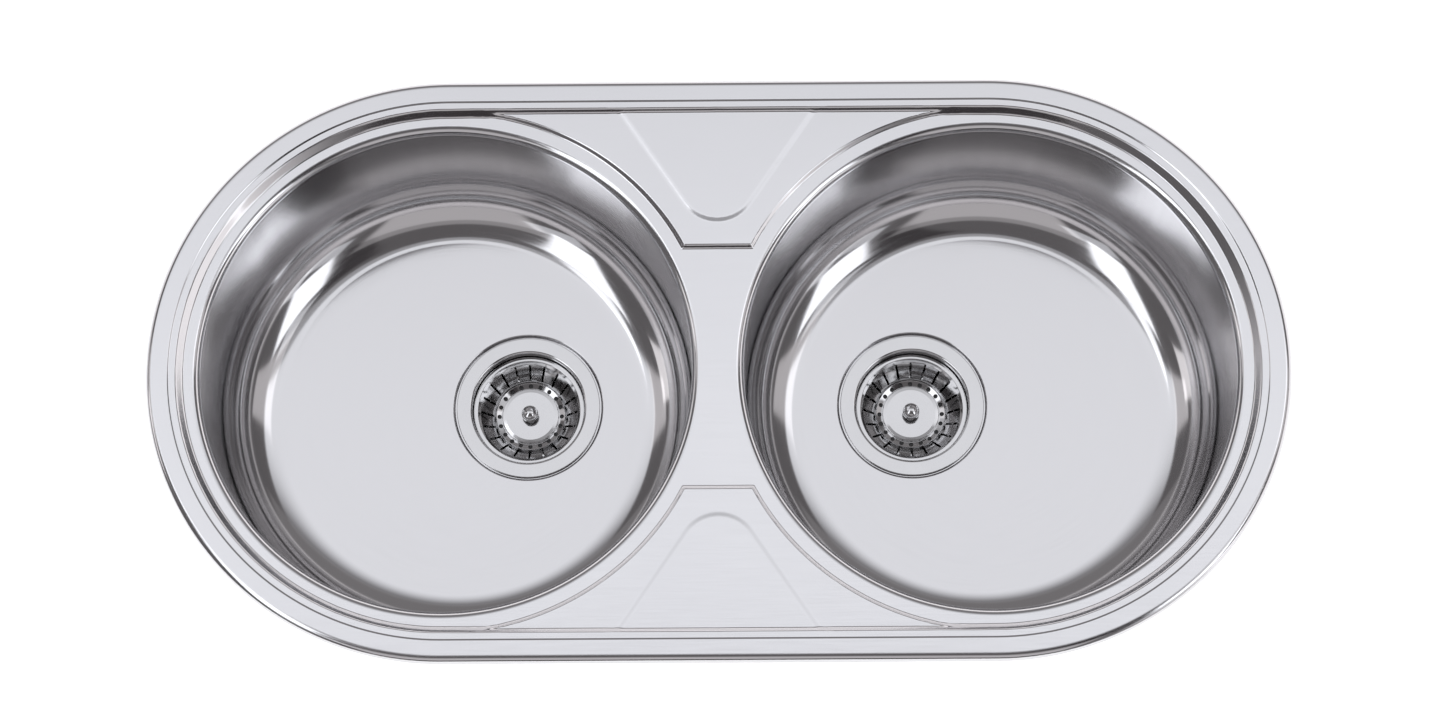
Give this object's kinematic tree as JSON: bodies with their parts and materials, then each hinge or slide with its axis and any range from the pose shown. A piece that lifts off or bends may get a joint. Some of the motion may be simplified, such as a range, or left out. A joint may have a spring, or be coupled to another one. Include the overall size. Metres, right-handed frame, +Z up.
{
  "type": "double bowl kitchen sink",
  "caption": "Round-ended inset steel sink with deep round bowls side by side, raised fields with embossed wedges, lift-out basket strainer wastes and swivelling claw clamps under the rim.",
  "frame": {"origin": "middle of the worktop cut-out, level with the worktop surface that the rim rests on", "axes": "+X to the right along the sink, +Y to the wall behind it, +Z up"},
  "size_m": [0.84, 0.44, 0.228],
  "materials": {
    "satin_steel": "satin brushed stainless steel",
    "polished_steel": "polished stainless steel",
    "fitting_steel": "zinc plated steel",
    "plastic": "moulded grey polypropylene",
    "rubber": "black rubber",
    "foam": "dark foam sealing strip",
    "bitumen": "bitumen sound deadening pad"
  },
  "bodies": {
    "sink": {"deck": "satin_steel", "rim_seal": "foam", "bowl_left": "satin_steel", "sound_pad_left": "bitumen", "flange_cup_left": "polished_steel", "upper_gasket_left": "rubber", "lower_gasket_left": "rubber", "waste_body_left": "plastic", "waste_spigot_left": "plastic", "centre_screw_left": "fitting_steel", "bowl_right": "satin_steel", "sound_pad_right": "bitumen", "flange_cup_right": "polished_steel", "upper_gasket_right": "rubber", "lower_gasket_right": "rubber", "waste_body_right": "plastic", "waste_spigot_right": "plastic", "centre_screw_right": "fitting_steel", "clip_bracket_left_1": "fitting_steel", "clip_bracket_left_2": "fitting_steel", "clip_bracket_left_3": "fitting_steel", "clip_bracket_left_4": "fitting_steel", "clip_bracket_right_1": "fitting_steel", "clip_bracket_right_2": "fitting_steel", "clip_bracket_right_3": "fitting_steel", "clip_bracket_right_4": "fitting_steel"},
    "strainer_left": {"basket_left": "polished_steel", "basket_plug_left": "rubber", "basket_washer_left": "fitting_steel", "basket_stem_left": "fitting_steel", "basket_knob_left": "polished_steel"},
    "strainer_right": {"basket_right": "polished_steel", "basket_plug_right": "rubber", "basket_washer_right": "fitting_steel", "basket_stem_right": "fitting_steel", "basket_knob_right": "polished_steel"},
    "clamp_screw_left_1": {"clip_screw_left_1": "fitting_steel"},
    "claw_left_1": {"clip_claw_left_1": "fitting_steel"},
    "clamp_screw_left_2": {"clip_screw_left_2": "fitting_steel"},
    "claw_left_2": {"clip_claw_left_2": "fitting_steel"},
    "clamp_screw_left_3": {"clip_screw_left_3": "fitting_steel"},
    "claw_left_3": {"clip_claw_left_3": "fitting_steel"},
    "clamp_screw_left_4": {"clip_screw_left_4": "fitting_steel"},
    "claw_left_4": {"clip_claw_left_4": "fitting_steel"},
    "clamp_screw_right_1": {"clip_screw_right_1": "fitting_steel"},
    "claw_right_1": {"clip_claw_right_1": "fitting_steel"},
    "clamp_screw_right_2": {"clip_screw_right_2": "fitting_steel"},
    "claw_right_2": {"clip_claw_right_2": "fitting_steel"},
    "clamp_screw_right_3": {"clip_screw_right_3": "fitting_steel"},
    "claw_right_3": {"clip_claw_right_3": "fitting_steel"},
    "clamp_screw_right_4": {"clip_screw_right_4": "fitting_steel"},
    "claw_right_4": {"clip_claw_right_4": "fitting_steel"}
  },
  "joints": [
    {"name": "strainer_lift_left", "type": "slide", "parent": "sink", "child": "strainer_left", "axis": [0, 0, 1], "range_m": [0, 0.2]},
    {"name": "strainer_lift_right", "type": "slide", "parent": "sink", "child": "strainer_right", "axis": [0, 0, 1], "range_m": [0, 0.2]},
    {"name": "clamp_travel_left_1", "type": "slide", "parent": "sink", "child": "clamp_screw_left_1", "axis": [0, 0, 1], "range_m": [0, 0.018]},
    {"name": "claw_swivel_left_1", "type": "hinge", "parent": "clamp_screw_left_1", "child": "claw_left_1", "pos_m": [-0.25215, 0.19463, -0.047], "axis": [0, 0, 1], "range_deg": [-20, 200]},
    {"name": "clamp_travel_left_2", "type": "slide", "parent": "sink", "child": "clamp_screw_left_2", "axis": [0, 0, 1], "range_m": [0, 0.018]},
    {"name": "claw_swivel_left_2", "type": "hinge", "parent": "clamp_screw_left_2", "child": "claw_left_2", "pos_m": [-0.38262, 0.08516, -0.047], "axis": [0, 0, 1], "range_deg": [-20, 200]},
    {"name": "clamp_travel_left_3", "type": "slide", "parent": "sink", "child": "clamp_screw_left_3", "axis": [0, 0, 1], "range_m": [0, 0.018]},
    {"name": "claw_swivel_left_3", "type": "hinge", "parent": "clamp_screw_left_3", "child": "claw_left_3", "pos_m": [-0.38262, -0.08516, -0.047], "axis": [0, 0, 1], "range_deg": [-20, 200]},
    {"name": "clamp_travel_left_4", "type": "slide", "parent": "sink", "child": "clamp_screw_left_4", "axis": [0, 0, 1], "range_m": [0, 0.018]},
    {"name": "claw_swivel_left_4", "type": "hinge", "parent": "clamp_screw_left_4", "child": "claw_left_4", "pos_m": [-0.25215, -0.19463, -0.047], "axis": [0, 0, 1], "range_deg": [-20, 200]},
    {"name": "clamp_travel_right_1", "type": "slide", "parent": "sink", "child": "clamp_screw_right_1", "axis": [0, 0, 1], "range_m": [0, 0.018]},
    {"name": "claw_swivel_right_1", "type": "hinge", "parent": "clamp_screw_right_1", "child": "claw_right_1", "pos_m": [0.25215, -0.19463, -0.047], "axis": [0, 0, 1], "range_deg": [-20, 200]},
    {"name": "clamp_travel_right_2", "type": "slide", "parent": "sink", "child": "clamp_screw_right_2", "axis": [0, 0, 1], "range_m": [0, 0.018]},
    {"name": "claw_swivel_right_2", "type": "hinge", "parent": "clamp_screw_right_2", "child": "claw_right_2", "pos_m": [0.38262, -0.08516, -0.047], "axis": [0, 0, 1], "range_deg": [-20, 200]},
    {"name": "clamp_travel_right_3", "type": "slide", "parent": "sink", "child": "clamp_screw_right_3", "axis": [0, 0, 1], "range_m": [0, 0.018]},
    {"name": "claw_swivel_right_3", "type": "hinge", "parent": "clamp_screw_right_3", "child": "claw_right_3", "pos_m": [0.38262, 0.08516, -0.047], "axis": [0, 0, 1], "range_deg": [-20, 200]},
    {"name": "clamp_travel_right_4", "type": "slide", "parent": "sink", "child": "clamp_screw_right_4", "axis": [0, 0, 1], "range_m": [0, 0.018]},
    {"name": "claw_swivel_right_4", "type": "hinge", "parent": "clamp_screw_right_4", "child": "claw_right_4", "pos_m": [0.25215, 0.19463, -0.047], "axis": [0, 0, 1], "range_deg": [-20, 200]}
  ]
}
